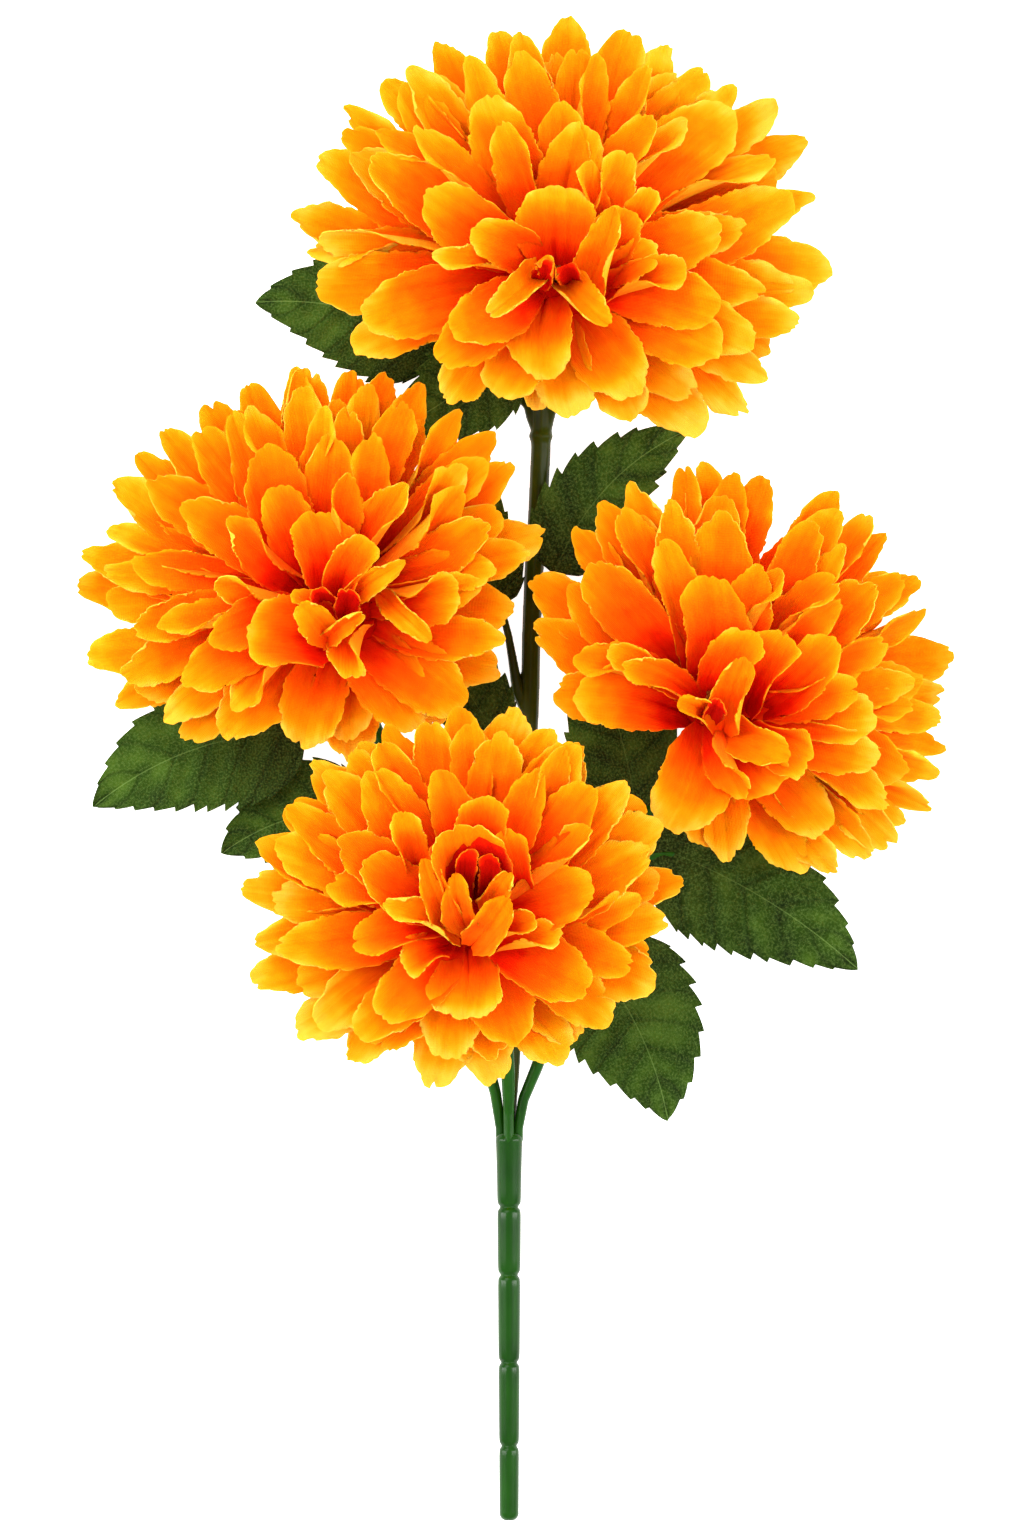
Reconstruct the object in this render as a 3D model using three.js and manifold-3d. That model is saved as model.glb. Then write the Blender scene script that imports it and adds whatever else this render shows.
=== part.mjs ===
// An artificial marigold spray that lies on its back: four fabric blooms and their leaves, on
// branch stems that meet in one ribbed handle. Millimetres, +X to the right, +Y from the handle
// to the top bloom, and +Z up from the surface, out of the blooms' faces.
import * as THREE from "three";
import Module from "manifold-3d";
import { mergeVertices } from "three/addons/utils/BufferGeometryUtils.js";

const wasm = await Module();
wasm.setup();

// ---- Driving dimensions ----------------------------------------------------------------------

const GAP = 0.35; // clearance between a piece and the one that carries it
const PETAL_THICKNESS = 0.8;
const LEAF_THICKNESS = 0.7;

const HANDLE = {
  x: -0.7,
  top: -88.3, // where the branch stems leave it
  end: -181.4,
  grooves: [-105.8, -122.2, -143.3, -163.4],
  topRadius: 3.2,
  endRadius: 2.35,
  waistRadius: 1.95, // at the bottom of a groove
  grooveHalf: 1.3,
  sides: 12,
};

// Rows of petals from the heart outwards. Places are shares of the bloom's reach: 0 at the heart
// and 1 at the rim. Heights are millimetres over the rim's level.
const ROWS = [
  { petals: 5, root: 0.05, rootZ: 8, tip: 0.17, lift: 3, width: 11, cup: 2.6 },
  { petals: 7, root: 0.12, rootZ: 7, tip: 0.36, lift: 1.5, width: 13.5, cup: 2.0 },
  { petals: 8, root: 0.2, rootZ: 5, tip: 0.55, lift: 1, width: 15.5, cup: 1.6 },
  { petals: 9, root: 0.28, rootZ: 3, tip: 0.74, lift: 0.5, width: 17, cup: 1.3 },
  { petals: 10, root: 0.34, rootZ: 0, tip: 0.92, lift: 0, width: 17.5, cup: 1.1 },
  { petals: 10, root: 0.4, rootZ: -2, tip: 1, lift: -2, width: 17.5, cup: 1.0 },
];
const PETAL_STATIONS = [0.12, 0.76, 1]; // shares of a petal's length
const PETAL_WIDTHS = [0.4, 1, 0.45]; // shares of its width there
const PETAL_TIP_CURVE = 0.07; // how far the corners of the tip stay behind its middle
const PETAL_RISE = 0.4; // how far along the petal its outward curve has its knee
const PETAL_TWIST = { mean: 0.2, spread: 0.1 }; // one edge lies over the next petal's
const DOME_ROUNDNESS = 0.7; // 0.5 is half an ellipse and 1 a parabola
const FULLNESS = 0.07; // how much further the petals reach between the four sides
const CORE = { reach: 0.6, rise: 0.66, depth: 5 };
const BUTTON = { radius: 2.4, height: 2.2 };
const CALYX = { height: 6.5, footRadius: 2.9, brimRadius: 8, sides: 12 };

// Each bloom's heart, how far its petals reach from it to the four sides, the level of its rim
// and its dome over that, and which way it leans over towards the surface, by how much.
const BLOOMS = [
  {
    name: "top",
    heart: [10.4, 118.3],
    reach: { right: 67, up: 62.5, left: 63, down: 38 },
    rim: 22,
    dome: 31,
    lowSide: 40,
    lean: 10,
    droop: 22,
    seed: 11,
  },
  {
    name: "left",
    heart: [-43.6, 38.2],
    reach: { right: 51.5, up: 58.5, left: 63, down: 37 },
    rim: 22,
    dome: 29,
    lowSide: 168,
    lean: 7,
    droop: 22,
    seed: 23,
  },
  {
    name: "right",
    heart: [48.5, 17],
    reach: { right: 59, up: 57, left: 45, down: 42 },
    rim: 22,
    dome: 29,
    lowSide: 10,
    lean: 11,
    droop: 22,
    seed: 37,
  },
  {
    name: "front",
    heart: [-9.2, -26.5],
    reach: { right: 52, up: 42, left: 56.5, down: 50.5 },
    rim: 44,
    dome: 28,
    lowSide: -90,
    lean: 9,
    droop: 2,
    seed: 53,
  },
];

// Branch stems: the points that each runs through from the handle to its calyx, with the radius
// there. Twigs branch off to the leaves. A leaf has the place of its tip, how far its midrib
// bows sideways and how high it arches, its width, and how much its halves fold up (or down,
// below 0).
const STEMS = [
  {
    name: "top",
    root: [0.1, -1.85],
    path: [
      [0.2, -72, 3.2, 1.6],
      [1.6, -40, 4.4, 1.9],
      [4.2, 11.5, 5, 2.1],
      [4.9, 40.3, 5, 2.2],
      [6.1, 59.5, 5, 2.2],
      [7.1, 81.1, 5, 2.3],
      [7.1, 94, 4.6, 2.2],
      [9.2, 109, 4.2, 2],
      [10.2, 115.5, 5.4, 1.9],
    ],
    twigs: [
      {
        path: [[3.8, 87.4, 4.6, 1.1], [-6, 97, 3, 1], [-14.4, 100.2, 2.6, 0.8]],
        leaf: { tip: [-61.8, 112.2, 6], bow: -2, arch: 3, width: 30, fold: 1 },
      },
      {
        path: [[7, 79, 5, 1.5], [3.6, 88, 4.4, 1.2], [1.2, 101.6, 4.6, 0.9]],
        leaf: { tip: [-28.7, 81.1, 9], bow: 1, arch: 1.4, width: 26, fold: 0.8 },
      },
      {
        path: [[7.1, 78, 5, 1.5], [10, 88, 5.4, 1.2], [12.4, 97.4, 6.2, 0.9]],
        leaf: { tip: [51, 113, 7], bow: 3, arch: 1.4, width: 25, fold: 0.8 },
      },
      {
        path: [[5.2, 38, 5, 1.4], [8, 42, 6.4, 1.1], [9.4, 44.8, 7.6, 0.9]],
        leaf: { tip: [43, 81.8, 7], bow: 5, arch: 3, width: 25, fold: -1.5 },
      },
      {
        path: [[4.2, 12, 5, 1.4], [0.9, 20, 5.2, 1.5], [0.1, 27, 5.8, 1], [-2.1, 37.2, 7.6, 0.8]],
        leaf: { tip: [-3.5, 66.5, 10], bow: 2, arch: 1.2, width: 17, fold: 0.6 },
      },
      {
        path: [[3.6, -6, 4.8, 1.3], [0.6, 1, 5, 1.1], [-1, 5.6, 5.2, 0.9]],
        leaf: { tip: [-17.2, 40.3, 8.4], bow: 3, arch: 1.6, width: 20, fold: 0.8 },
      },
    ],
  },
  {
    name: "left",
    root: [-1.85, -0.2],
    path: [
      [-5.2, -74, 4, 1.4],
      [-14, -40, 5, 1.5],
      [-27, -5, 5, 1.6],
      [-38, 22, 4.2, 1.7],
      [-42.6, 34.5, 5.4, 1.8],
    ],
    twigs: [
      {
        path: [[-28, -2.6, 5, 1.3], [-38, 4.5, 5.4, 1.1], [-47.6, 8.6, 6, 0.9]],
        leaf: { tip: [-101, -9.4, 3], bow: -6, arch: 3, width: 31, fold: 1.5 },
      },
      {
        path: [[-20, -22, 5, 1.3], [-27, -15, 5, 1.1], [-34, -9.6, 4.6, 0.9]],
        leaf: { tip: [-70, -20.6, 1.4], bow: -3, arch: 0.6, width: 26, fold: 0.8 },
      },
    ],
  },
  {
    name: "right",
    root: [1.95, -0.1],
    path: [
      [6, -72, 5, 1.4],
      [15, -46, 5, 1.5],
      [30, -15, 5, 1.6],
      [43, 4, 4.2, 1.7],
      [47.4, 13, 5.4, 1.8],
    ],
    twigs: [
      {
        path: [[12, -54, 5, 1.2], [14, -48, 7.4, 1.1], [17.4, -43.6, 9.2, 0.9]],
        leaf: { tip: [37.6, -85, 2], bow: 3, arch: 3, width: 32, fold: -1.4 },
      },
      {
        path: [[24, -28, 5, 1.3], [31, -22.6, 5.2, 1.1], [37.6, -20.4, 5.4, 0.9]],
        leaf: { tip: [83.4, -48.5, 2], bow: 3, arch: 3, width: 28, fold: -1.2 },
      },
      {
        path: [[27, -21, 5, 1.3], [29.4, -16, 7, 1.1], [30.4, -12, 8.2, 0.9]],
        leaf: { tip: [18.8, 30.7, 9], bow: -1, arch: 2, width: 30, fold: 1 },
      },
    ],
  },
  {
    name: "front",
    root: [-0.1, 1.95],
    path: [
      [-1.2, -70, 9, 1.7],
      [-4.5, -46, 19, 1.8],
      [-8, -33.5, 26.5, 1.8],
    ],
    twigs: [],
  },
];
const TWIG_END = 1.6; // the last stretch of a twig, in line with its leaf
const STEM_NECK = 2.4; // the last stretch of a stem, in line with its calyx
const STEM_ROOT_RADIUS = 1.15;

const LEAF_TEETH = 7;
const LEAF_OUTLINE = { foot: 0.6, tip: 1 }; // powers: how blunt its foot is, and how sharp its tip
const LEAF_FOOT = 0.06; // share of the half width at the very foot
const TOOTH_DEPTH = 0.12; // share of the half width
const TOOTH_LEAN = 0.035; // how far a tooth's point leans towards the leaf's tip

const COLOURS = {
  petals: 0xff9a0a,
  button: 0x6b4a1c,
  leaf: 0x34551f,
  stem: 0x35501e,
  handle: 0x2d6420,
  calyx: 0x3f6b2c,
};

// ---- Helpers ---------------------------------------------------------------------------------

/** Seeded draws between -1 and 1, the same ones each time. */
function draws(seed) {
  let state = seed >>> 0;
  return () => {
    state = (Math.imul(state, 1664525) + 1013904223) >>> 0;
    return state / 2 ** 31 - 1;
  };
}

/** A closed BufferGeometry from corner points and triangles. */
function geometryOf(points, triangles) {
  const geometry = new THREE.BufferGeometry();
  const places = new Float32Array(points.flatMap((p) => [p.x, p.y, p.z]));
  geometry.setAttribute("position", new THREE.BufferAttribute(places, 3));
  geometry.setIndex(triangles);
  return geometry;
}

/** The solid of a closed geometry. */
function solidOf(geometry) {
  const bare = geometry.clone();
  bare.deleteAttribute("normal");
  bare.deleteAttribute("uv");
  const merged = mergeVertices(bare, 1e-4);
  return new wasm.Manifold(
    new wasm.Mesh({
      numProp: 3,
      vertProperties: merged.attributes.position.array,
      triVerts: new Uint32Array(merged.index.array),
    }),
  );
}

/** Geometries joined into one body: the largest, without loose scraps or sealed hollows. */
function fuse(geometries) {
  const joined = geometries.map(solidOf).reduce((whole, next) => whole.add(next));
  const body = joined.decompose().reduce((a, b) => (a.volume() > b.volume() ? a : b));
  const mesh = body.getMesh();
  const geometry = new THREE.BufferGeometry();
  geometry.setAttribute("position", new THREE.BufferAttribute(mesh.vertProperties, 3));
  geometry.setIndex(new THREE.BufferAttribute(mesh.triVerts, 1));
  return geometry;
}

/**
 * A thin closed blade. rows are lines of points across it, all equally many, from its foot to
 * its tip, and normals has the upward normal of each row. Where it would pass below the
 * surface it lies flat on it.
 */
function blade(rows, normals, thickness) {
  const across = rows[0].length;
  const sides = [0.5, -0.5].map((side) =>
    rows.flatMap((row, i) =>
      row.map((point) => {
        const placed = point.clone().addScaledVector(normals[i], side * thickness);
        placed.z = Math.max(placed.z, side > 0 ? thickness : 0);
        return placed;
      }),
    ),
  );
  const under = sides[0].length;
  const triangles = [];
  const quad = (a, b, c, d) => triangles.push(a, b, c, a, c, d);
  for (let i = 0; i + 1 < rows.length; i++) {
    for (let j = 0; j + 1 < across; j++) {
      const a = i * across + j;
      const b = a + 1;
      const c = b + across;
      const d = a + across;
      // Both faces share one diagonal, so a waved blade doesn't cross itself.
      quad(a, b, c, d);
      triangles.push(under + a, under + c, under + b, under + a, under + d, under + c);
    }
    const left = i * across;
    const right = left + across - 1;
    quad(left, left + across, under + left + across, under + left);
    quad(right + across, right, under + right, under + right + across);
  }
  const last = (rows.length - 1) * across;
  for (let j = 0; j + 1 < across; j++) {
    quad(j + 1, j, under + j, under + j + 1);
    quad(last + j, last + j + 1, under + last + j + 1, under + last + j);
  }
  return geometryOf(sides.flat(), triangles);
}

/** A closed round rod through points [x, y, z, radius], with flat ends. */
function rod(points, sides = 8, steps = 14) {
  const curve = new THREE.CatmullRomCurve3(points.map(([x, y, z]) => new THREE.Vector3(x, y, z)));
  const frames = curve.computeFrenetFrames(steps, false);
  const radiusAt = (t) => {
    const place = curve.getUtoTmapping(t) * (points.length - 1);
    const i = Math.min(Math.floor(place), points.length - 2);
    return THREE.MathUtils.lerp(points[i][3], points[i + 1][3], place - i);
  };
  const corners = [];
  for (let i = 0; i <= steps; i++) {
    const centre = curve.getPointAt(i / steps);
    for (let j = 0; j < sides; j++) {
      const angle = (2 * Math.PI * j) / sides;
      const out = frames.normals[i]
        .clone()
        .multiplyScalar(Math.cos(angle))
        .addScaledVector(frames.binormals[i], Math.sin(angle));
      corners.push(centre.clone().addScaledVector(out, radiusAt(i / steps)));
    }
  }
  const triangles = [];
  for (let i = 0; i < steps; i++) {
    for (let j = 0; j < sides; j++) {
      const a = i * sides + j;
      const b = i * sides + ((j + 1) % sides);
      triangles.push(a, b, b + sides, a, b + sides, a + sides);
    }
  }
  const last = steps * sides;
  for (let j = 1; j + 1 < sides; j++) {
    triangles.push(0, j + 1, j);
    triangles.push(last, last + j, last + j + 1);
  }
  return geometryOf(corners, triangles);
}

/** A point on the quadratic curve from a to c with its knee at b. */
function along(a, b, c, t) {
  const s = 1 - t;
  return new THREE.Vector3()
    .addScaledVector(a, s * s)
    .addScaledVector(b, 2 * s * t)
    .addScaledVector(c, t * t);
}

/** The direction of that curve at t. */
function headingAt(a, b, c, t) {
  return new THREE.Vector3()
    .addScaledVector(b.clone().sub(a), 1 - t)
    .addScaledVector(c.clone().sub(b), t)
    .normalize();
}

// ---- Blooms ----------------------------------------------------------------------------------

/** The point of a bloom at shares x and y of its reach, z over its rim's level. */
function inBloom(bloom, x, y, z) {
  const { right, left, up, down } = bloom.reach;
  const low = THREE.MathUtils.degToRad(bloom.lowSide);
  const towardsLow = x * Math.cos(low) + y * Math.sin(low);
  const hang = bloom.droop * Math.max(0, towardsLow) ** 4;
  const diagonal = x || y ? (2 * x * y) / (x * x + y * y) : 0;
  const full = 1 + FULLNESS * diagonal ** 2;
  return new THREE.Vector3(
    bloom.heart[0] + x * full * (x > 0 ? right : left),
    bloom.heart[1] + y * full * (y > 0 ? up : down),
    bloom.rim + z - bloom.lean * towardsLow - hang,
  );
}

function petal(bloom, row, turn, draw) {
  const tipShare = row.tip * (1 + 0.04 * draw());
  const at = (share, z) => inBloom(bloom, share * Math.cos(turn), share * Math.sin(turn), z);
  const domeAt = (share) => bloom.dome * Math.max(0, 1 - share ** 2) ** DOME_ROUNDNESS;
  const foot = at(row.root, row.rootZ);
  const tip = at(tipShare, domeAt(tipShare) + row.lift + draw());
  const knee = foot.clone().lerp(tip, PETAL_RISE);
  knee.z = Math.max(foot.z, tip.z) + 1.5;
  const twist = PETAL_TWIST.mean + PETAL_TWIST.spread * draw();
  const rows = [];
  const normals = [];
  PETAL_STATIONS.forEach((t, i) => {
    const heading = headingAt(foot, knee, tip, t);
    const plan = new THREE.Vector3(heading.x, heading.y, 0).normalize();
    const sideways = new THREE.Vector3(-plan.y, plan.x, twist).normalize();
    const normal = heading.clone().cross(sideways).normalize();
    const half = (row.width * PETAL_WIDTHS[i]) / 2;
    const middle = along(foot, knee, tip, t);
    const edge = (side) =>
      middle
        .clone()
        .addScaledVector(sideways, side * half)
        .addScaledVector(normal, row.cup * t * PETAL_WIDTHS[i])
        .addScaledVector(heading, i === PETAL_STATIONS.length - 1 ? -PETAL_TIP_CURVE * row.width : 0);
    rows.push([edge(1), middle, edge(-1)]);
    normals.push(normal);
  });
  return blade(rows, normals, PETAL_THICKNESS);
}

function core(bloom) {
  const ball = new THREE.SphereGeometry(1, 12, 6);
  const places = ball.attributes.position;
  for (let i = 0; i < places.count; i++) {
    const [x, y, z] = new THREE.Vector3().fromBufferAttribute(places, i).toArray();
    const height = y > 0 ? y * bloom.dome * CORE.rise : y * CORE.depth;
    const placed = inBloom(bloom, x * CORE.reach, -z * CORE.reach, height);
    places.setXYZ(i, placed.x, placed.y, placed.z);
  }
  return ball;
}

function head(bloom) {
  const draw = draws(bloom.seed);
  const pieces = [core(bloom)];
  ROWS.forEach((row, k) => {
    for (let i = 0; i < row.petals; i++) {
      const turn = ((i + 0.5 * (k % 2) + 0.14 * draw()) / row.petals) * 2 * Math.PI;
      pieces.push(petal(bloom, row, turn, draw));
    }
  });
  return fuse(pieces);
}

// ---- Leaves ----------------------------------------------------------------------------------

/** The half width of a leaf at t of its length, as a share of the greatest. */
function leafSwell(t) {
  const { foot, tip } = LEAF_OUTLINE;
  const shape = (place) => place ** foot * (1 - place) ** tip;
  return LEAF_FOOT * (1 - 0.7 * t) + (1 - LEAF_FOOT) * (shape(t) / shape(foot / (foot + tip)));
}

/** The knee of a leaf's midrib between its foot and its tip. */
function leafKnee(foot, { tip, bow, arch }) {
  const end = new THREE.Vector3(...tip);
  const ahead = end.clone().sub(foot).normalize();
  const aside = new THREE.Vector3(-ahead.y, ahead.x, 0).multiplyScalar(2 * bow);
  return foot.clone().lerp(end, 0.5).add(aside).setZ((foot.z + end.z) / 2 + 2 * arch);
}

/** A twig's path with its last stretch in line with its leaf, and the leaf's foot past it. */
function twigAndFoot({ path, leaf: spec }) {
  const [x, y, z, radius] = path.at(-1);
  const bend = new THREE.Vector3(x, y, z);
  const heading = leafKnee(bend, spec).sub(bend).normalize();
  const end = bend.clone().addScaledVector(heading, TWIG_END);
  const foot = end.clone().addScaledVector(heading, GAP);
  return { path: [...path, [end.x, end.y, end.z, radius]], foot };
}

/** A leaf blade: its outline swells from the foot and its saw teeth point to the tip. */
function leaf(twig) {
  const { tip, width, fold } = twig.leaf;
  const start = twigAndFoot(twig).foot;
  const knee = leafKnee(start, twig.leaf);
  const end = new THREE.Vector3(...tip);
  const lead = TOOTH_LEAN * start.distanceTo(end);
  const steps = 2 * LEAF_TEETH;
  const rows = [];
  const normals = [];
  for (let i = 0; i <= steps; i++) {
    const t = i / steps;
    const isTooth = i % 2 === 1;
    const heading = headingAt(start, knee, end, t);
    const sideways = new THREE.Vector3(-heading.y, heading.x, 0).normalize();
    const normal = heading.clone().cross(sideways).normalize();
    const half = (width / 2) * leafSwell(t) * (isTooth ? 1 : 1 - TOOTH_DEPTH);
    const middle = along(start, knee, end, t);
    const edge = (side) =>
      middle
        .clone()
        .addScaledVector(sideways, side * half)
        .addScaledVector(heading, isTooth ? lead : 0)
        .addScaledVector(normal, fold * leafSwell(t));
    rows.push([edge(1), middle, edge(-1)]);
    normals.push(normal);
  }
  return blade(rows, normals, LEAF_THICKNESS);
}

// ---- Stems, calyxes, buttons and handle --------------------------------------------------------

function handleRadius(y) {
  const share = (y - HANDLE.end) / (HANDLE.top - HANDLE.end);
  return THREE.MathUtils.lerp(HANDLE.endRadius, HANDLE.topRadius, share);
}

/** The handle stands on its rounded end here, along Y. */
function handle() {
  const profile = [[0, HANDLE.end], [1.5, HANDLE.end], [2.1, HANDLE.end + 0.7]];
  profile.push([handleRadius(HANDLE.end + 2), HANDLE.end + 2]);
  for (const groove of [...HANDLE.grooves].reverse()) {
    const below = groove - HANDLE.grooveHalf;
    const above = groove + HANDLE.grooveHalf;
    profile.push([handleRadius(below), below]);
    profile.push([HANDLE.waistRadius, groove - HANDLE.grooveHalf / 2]);
    profile.push([HANDLE.waistRadius, groove + HANDLE.grooveHalf / 2]);
    profile.push([handleRadius(above), above]);
  }
  profile.push([HANDLE.topRadius, HANDLE.top], [0, HANDLE.top]);
  const outline = profile.map(([radius, y]) => new THREE.Vector2(radius, y - HANDLE.end));
  const facet = Math.PI / HANDLE.sides;
  return new THREE.LatheGeometry(outline, HANDLE.sides, facet);
}

/** The height of the middle of the handle over the surface, where it lies on a flat facet. */
const facetHeight = (radius) => radius * Math.cos(Math.PI / HANDLE.sides);

/** The foot of a bloom's calyx, where its stem ends. */
function calyxFoot(bloom) {
  const back = inBloom(bloom, 0, 0, -CORE.depth);
  return back.setZ(back.z - GAP - CALYX.height);
}

/** A branch stem from the handle to its bloom's calyx, with its twigs. */
function stem({ root, path, twigs }, bloom) {
  const height = facetHeight(HANDLE.topRadius);
  const [x, z] = root;
  const start = [HANDLE.x + x, HANDLE.top + GAP, height + z, STEM_ROOT_RADIUS];
  const straight = [HANDLE.x + x, HANDLE.top + 4, height + z, STEM_ROOT_RADIUS];
  const foot = calyxFoot(bloom);
  const radius = path.at(-1)[3];
  const neck = [foot.x, foot.y, foot.z - GAP - STEM_NECK, radius];
  const end = [foot.x, foot.y, foot.z - GAP, radius];
  const rods = twigs.map((twig) => rod(twigAndFoot(twig).path, 5, 4));
  return fuse([rod([start, straight, ...path, neck, end], 8, 14), ...rods]);
}

/** A cup whose brim leans with the back of its bloom. */
function calyx(bloom) {
  const { height, footRadius, brimRadius, sides } = CALYX;
  const profile = [
    [0, 0],
    [footRadius, 0],
    [footRadius + 0.6, height * 0.35],
    [brimRadius * 0.75, height * 0.75],
    [brimRadius, height * 0.9],
    [brimRadius * 0.95, height],
    [0, height],
  ];
  const cup = new THREE.LatheGeometry(profile.map(([r, y]) => new THREE.Vector2(r, y)), sides);
  cup.rotateX(Math.PI / 2);
  const places = cup.attributes.position;
  const { right, left, up, down } = bloom.reach;
  for (let i = 0; i < places.count; i++) {
    const [x, y, z] = new THREE.Vector3().fromBufferAttribute(places, i).toArray();
    const back = inBloom(bloom, x / (x > 0 ? right : left), y / (y > 0 ? up : down), 0);
    places.setZ(i, z + ((back.z - bloom.rim) * z) / height);
  }
  const foot = calyxFoot(bloom);
  return cup.translate(foot.x, foot.y, foot.z);
}

function button() {
  const { radius, height } = BUTTON;
  const profile = [[0, 0], [radius * 0.8, 0], [radius, height * 0.35], [radius * 0.7, height * 0.8]];
  profile.push([0, height]);
  return new THREE.LatheGeometry(profile.map(([r, y]) => new THREE.Vector2(r, y)), 8);
}

// ---- The spray ---------------------------------------------------------------------------------

const spray = new THREE.Group();

function add(name, geometry, color, roughness = 0.7) {
  const material = new THREE.MeshStandardMaterial({ color, roughness, metalness: 0 });
  const mesh = new THREE.Mesh(geometry, material);
  mesh.name = name;
  spray.add(mesh);
  return mesh;
}

for (const bloom of BLOOMS) {
  add(`${bloom.name}_bloom`, head(bloom), COLOURS.petals, 0.85);
  add(`${bloom.name}_calyx`, calyx(bloom), COLOURS.calyx, 0.5);
  const pip = add(`${bloom.name}_button`, button(), COLOURS.button, 0.6);
  pip.rotation.x = Math.PI / 2;
  pip.position.copy(inBloom(bloom, 0, 0, bloom.dome * CORE.rise + GAP));
}

STEMS.forEach((spec, i) => add(`${spec.name}_stem`, stem(spec, BLOOMS[i]), COLOURS.stem, 0.5));

STEMS.flatMap((spec) => spec.twigs).forEach((twig, i) => {
  add(`leaf_${String(i + 1).padStart(2, "0")}`, leaf(twig), COLOURS.leaf, 0.8);
});

const grip = add("handle", handle(), COLOURS.handle, 0.4);
const settle = (facetHeight(HANDLE.topRadius) - facetHeight(HANDLE.endRadius)) / (HANDLE.top - HANDLE.end);
grip.position.set(HANDLE.x, HANDLE.end, facetHeight(HANDLE.endRadius));
grip.rotation.x = Math.atan(settle);

// The origin is the middle of the spray's outline, on the surface that it lies on.
const box = new THREE.Box3().setFromObject(spray, true);
const centre = box.getCenter(new THREE.Vector3());
spray.position.set(-centre.x, -centre.y, -box.min.z);

export default spray;
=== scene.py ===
"""Looks of an artificial marigold spray: four fabric blooms, their leaves, stems and handle.

Shapes are worked out in millimetres, and become metres where a mesh is made. X is to the
right, Y runs from the handle to the top bloom, and Z is up from the surface that the spray
lies on, out of the blooms' faces.
"""

from math import acos, cos, hypot, pi, radians, sin, sqrt
from types import SimpleNamespace as Sizes

import bpy
import numpy as np
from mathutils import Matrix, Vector


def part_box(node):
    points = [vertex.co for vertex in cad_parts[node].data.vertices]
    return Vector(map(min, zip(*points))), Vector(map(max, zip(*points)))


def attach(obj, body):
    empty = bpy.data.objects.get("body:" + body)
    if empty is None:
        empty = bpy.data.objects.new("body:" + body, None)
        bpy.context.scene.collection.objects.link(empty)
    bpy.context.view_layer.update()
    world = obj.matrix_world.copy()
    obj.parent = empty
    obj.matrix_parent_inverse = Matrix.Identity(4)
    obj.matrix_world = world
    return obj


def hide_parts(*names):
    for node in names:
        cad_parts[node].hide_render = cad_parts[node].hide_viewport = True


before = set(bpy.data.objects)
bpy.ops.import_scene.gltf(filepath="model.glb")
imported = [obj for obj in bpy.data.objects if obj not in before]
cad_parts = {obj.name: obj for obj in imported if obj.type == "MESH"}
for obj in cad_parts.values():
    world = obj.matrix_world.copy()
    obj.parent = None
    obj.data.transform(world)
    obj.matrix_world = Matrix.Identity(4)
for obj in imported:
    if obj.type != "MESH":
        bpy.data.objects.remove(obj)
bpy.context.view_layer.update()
MM = 0.001
FULL_TURN = 2 * pi

# ---- Handle and frame ----

# The handle, with a crown that runs up round the stems and a flare where they run into it.
HANDLE = Sizes(
    x=-0.7, top=-88.3, end=-181.4, top_radius=3.0, end_radius=2.3, crown=0.3,
    flare=0.35, flare_length=7, grooves=(-105.8, -122.2, -143.3, -163.4),
    sides=60, rows=300,
)
# A groove is a narrow cut in a wide dip: their depths as shares of the radius, and half widths.
GROOVE_CUTS = ((0.2, 0.55), (0.05, 1.6))
# The rounding of the ends: its length, and the share of the radius's square lost at the very end.
END_ROUNDING = Sizes(run=1.6, loss=0.75)
TOP_ROUNDING = Sizes(run=1.8, loss=0.5)
ROUNDING_ROWS = 9

# Places are measured from the middle of the photograph. The handle, which is at a known place
# in both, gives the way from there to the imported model's frame.
PHOTO = Sizes(height=1536, centre=(511.5, 768), mm_per_pixel=0.24)
HANDLE_LOW, HANDLE_HIGH = (np.array(corner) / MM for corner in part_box("handle"))
SHIFT = np.array(
    [(HANDLE_LOW[0] + HANDLE_HIGH[0]) / 2 - HANDLE.x, HANDLE_HIGH[1] - HANDLE.top, 0]
)

# ---- Blooms ----

# Each bloom's heart, its reach to the right, left, up and down in the plan, its rim's level and
# its dome over that, the direction, in degrees, in which it leans and droops, and by how much.
# Then how golden it is, how wide its core is, and where a gap leaves it open down to its stem.
BLOOMS = {
    "top": {
        "heart": (10.4, 118.3), "reach": (67, 63, 62.5, 38), "rim": 22, "dome": 31,
        "low_side": 40, "lean": 10, "droop": 22, "gold": -0.1, "core": 0.34, "seed": 11,
    },
    "left": {
        "heart": (-43.6, 38.2), "reach": (51.5, 63, 58.5, 37), "rim": 22, "dome": 29,
        "low_side": 168, "lean": 7, "droop": 22, "gold": -0.36, "core": 0.34, "seed": 23,
    },
    "right": {
        "heart": (48.5, 17), "reach": (59, 45, 57, 42), "rim": 22, "dome": 29, "gap": 218,
        "low_side": 10, "lean": 11, "droop": 22, "gold": -0.46, "core": 0.2, "seed": 37,
    },
    "front": {
        "heart": (-9.2, -26.5), "reach": (52, 56.5, 42, 50.5), "rim": 44, "dome": 28,
        "low_side": -90, "lean": 9, "droop": 2, "gold": -0.36, "core": 0.28, "seed": 53,
    },
}
DOME_ROUNDNESS = 0.7
FULLNESS = 0.07  # how much further a bloom reaches between its four sides
GAP_WIDTH = cos(radians(28))
FLOOR_SOFTNESS = 1.5
# The core, where the layers are gathered: its rise as a share of the dome, and its depth.
CORE = Sizes(rise=0.42, depth=4.5, pale=0.9, rows=13, columns=24, pole=0.02)

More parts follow.
